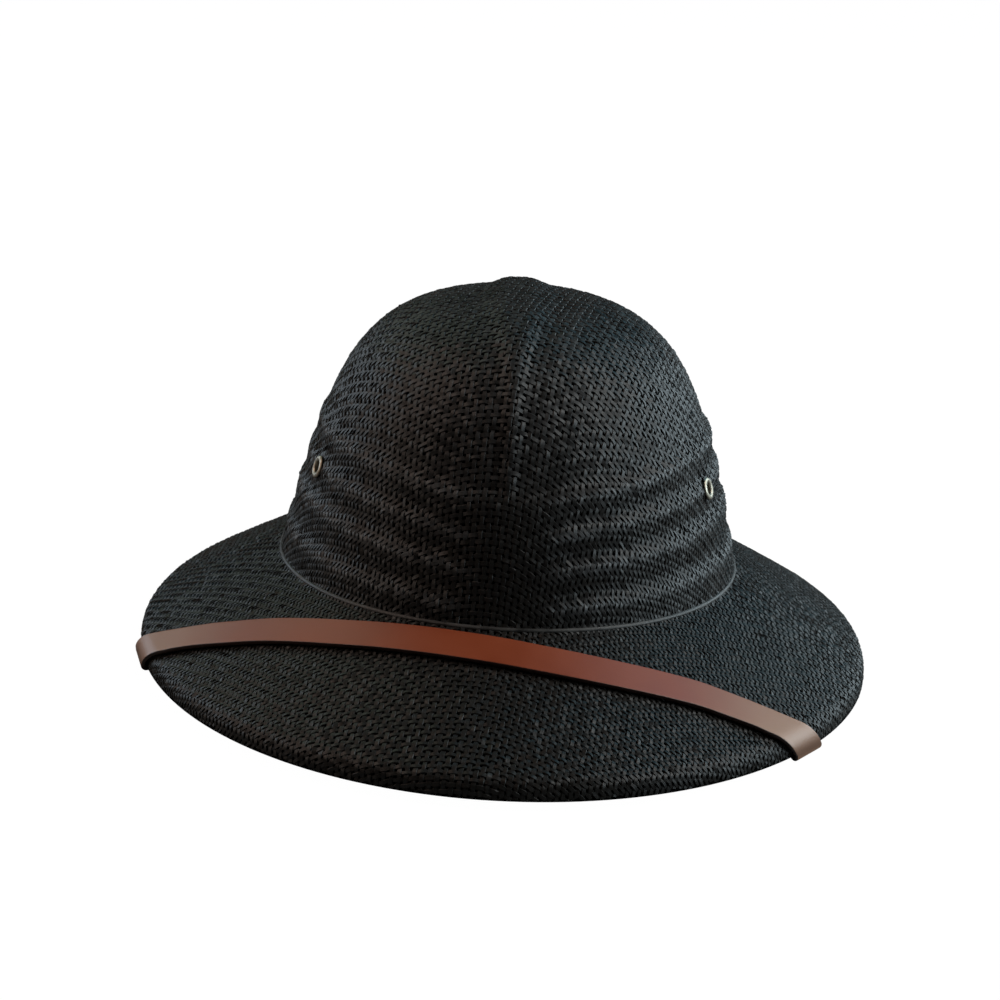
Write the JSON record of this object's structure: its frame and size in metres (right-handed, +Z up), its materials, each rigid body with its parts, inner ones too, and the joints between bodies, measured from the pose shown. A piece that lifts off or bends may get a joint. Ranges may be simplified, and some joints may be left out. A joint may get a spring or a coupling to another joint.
{
  "type": "straw sun helmet",
  "caption": "Woven straw sun helmet with a ridged, pleated crown, a sloping brim with a rolled edge, a leather chin strap laid over the brim and brass vent eyelets.",
  "frame": {"origin": "middle of the rim's oval, on the plane that the helmet rests on", "axes": "+Z up through the crown, -Y to the front of the helmet, +X to the right of a viewer who looks at its front"},
  "size_m": [0.2878, 0.3432, 0.1444],
  "materials": {
    "black_straw": "satin woven straw",
    "brown_leather": "smooth, worn paler at the ends",
    "eyelet_brass": "dull brass",
    "rivet_brass": "dull brass"
  },
  "bodies": {
    "root": {"straw_shell": "black_straw", "chin_strap": "brown_leather", "eyelet_left": "eyelet_brass", "eyelet_right": "eyelet_brass", "strap_rivet_left": "rivet_brass", "strap_rivet_right": "rivet_brass"}
  },
  "joints": []
}
